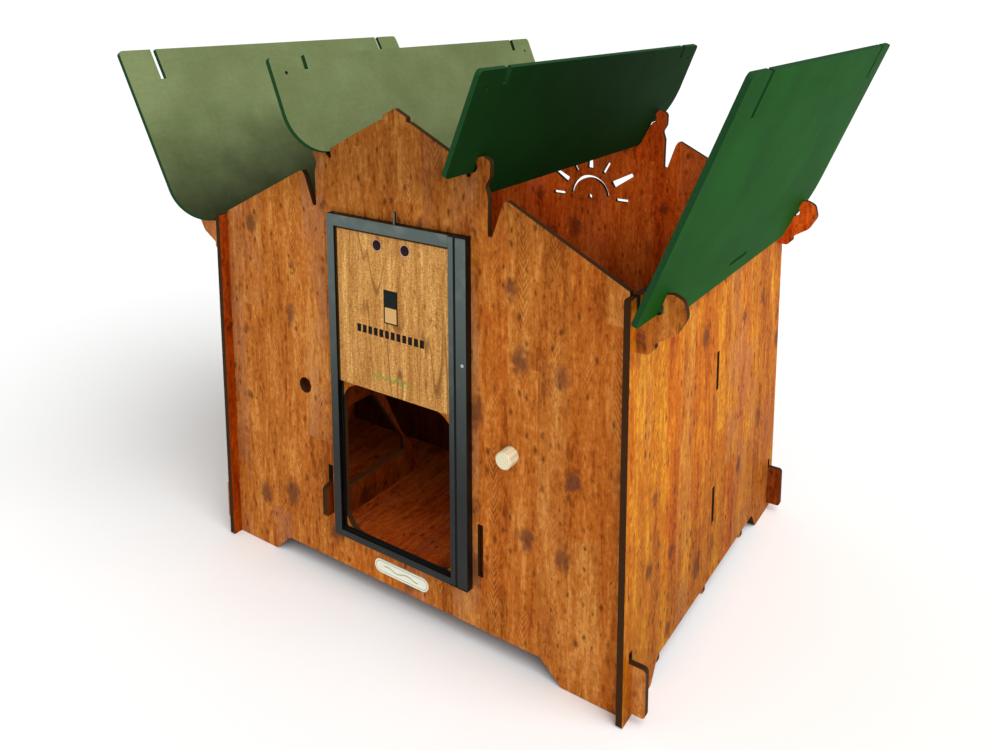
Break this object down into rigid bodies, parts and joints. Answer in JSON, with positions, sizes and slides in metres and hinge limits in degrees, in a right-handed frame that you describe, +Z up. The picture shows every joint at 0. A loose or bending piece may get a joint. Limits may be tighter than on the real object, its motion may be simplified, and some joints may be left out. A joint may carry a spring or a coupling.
{
  "type": "chicken coop with automatic sliding door",
  "caption": "Small chicken coop of interlocking wood-effect boards with hinged green roof boards, a through perch and an automatic lift-up door.",
  "frame": {"origin": "on the ground, under the middle of the coop, at the middle foot of the cross board", "axes": "+Z up, +X to the right seen from the door side, the door faces -Y"},
  "size_m": [1.1808, 0.766, 0.925],
  "materials": {
    "panel_wood": "matte",
    "roof_green": "matte",
    "birch": "satin",
    "anodised": "satin",
    "black_plastic": "matte",
    "seal_rubber": "matte",
    "light_oak": "satin",
    "rim_metal": "satin",
    "screw_steel": "satin",
    "board_green": "satin",
    "cream_plate": "satin"
  },
  "bodies": {
    "coop": {"front_panel": "panel_wood", "back_panel": "panel_wood", "left_side_panel": "panel_wood", "right_side_panel": "panel_wood", "floor_panel": "panel_wood", "floor_bearer_front": "panel_wood", "floor_bearer_back": "panel_wood", "floor_bearer_middle": "panel_wood", "mid_frame": "panel_wood", "nest_divider": "panel_wood", "frame_left_stile": "anodised", "frame_right_profile": "anodised", "frame_top_rail": "anodised", "frame_bottom_rail": "anodised", "profile_end_caps": "black_plastic", "profile_groove_strip": "black_plastic", "guide_liners": "black_plastic", "bottom_seal": "seal_rubber", "drive_gearbox": "black_plastic", "drive_motor": "rim_metal", "battery_cells": "rim_metal", "battery_contacts": "screw_steel", "control_board": "board_green", "control_screw": "screw_steel", "frame_screws": "screw_steel", "light_sensor": "black_plastic", "label_plate": "cream_plate"},
    "outer_roof_left_board": {"outer_roof_left": "roof_green"},
    "outer_roof_right_board": {"outer_roof_right": "roof_green"},
    "inner_roof_left_board": {"inner_roof_left": "roof_green"},
    "inner_roof_right_board": {"inner_roof_right": "roof_green"},
    "door": {"door_leaf": "light_oak", "door_window_rims": "rim_metal", "door_badge": "black_plastic", "door_rack": "black_plastic"},
    "pinion": {"drive_pinion": "black_plastic"},
    "perch_bar": {"perch": "birch"}
  },
  "joints": [
    {"name": "outer_roof_left_hinge", "type": "hinge", "parent": "coop", "child": "outer_roof_left_board", "pos_m": [-0.438, 0, 0.61003], "axis": [0, 1, 0], "range_deg": [0, 76]},
    {"name": "outer_roof_right_hinge", "type": "hinge", "parent": "coop", "child": "outer_roof_right_board", "pos_m": [0.438, 0, 0.61003], "axis": [0, 1, 0], "range_deg": [-70, 0]},
    {"name": "inner_roof_left_hinge", "type": "hinge", "parent": "coop", "child": "inner_roof_left_board", "pos_m": [-0.146, 0, 0.76453], "axis": [0, 1, 0], "range_deg": [0, 84.4]},
    {"name": "inner_roof_right_hinge", "type": "hinge", "parent": "coop", "child": "inner_roof_right_board", "pos_m": [0.146, 0, 0.76453], "axis": [0, 1, 0], "range_deg": [-84.4, 0]},
    {"name": "door_slide", "type": "slide", "parent": "coop", "child": "door", "axis": [0, 0, 1], "range_m": [-0.266, 0]},
    {"name": "pinion_spin", "type": "hinge", "parent": "coop", "child": "pinion", "pos_m": [0.1235, -0.3245, 0.3825], "axis": [0, 1, 0], "range_deg": [-3050, 2]},
    {"name": "perch_slide", "type": "slide", "parent": "coop", "child": "perch_bar", "axis": [0, -1, 0], "range_m": [0, 0.7]}
  ],
  "couplings": [
    {"joint": "pinion_spin", "follows": "door_slide", "rad_per_m": 200}
  ]
}
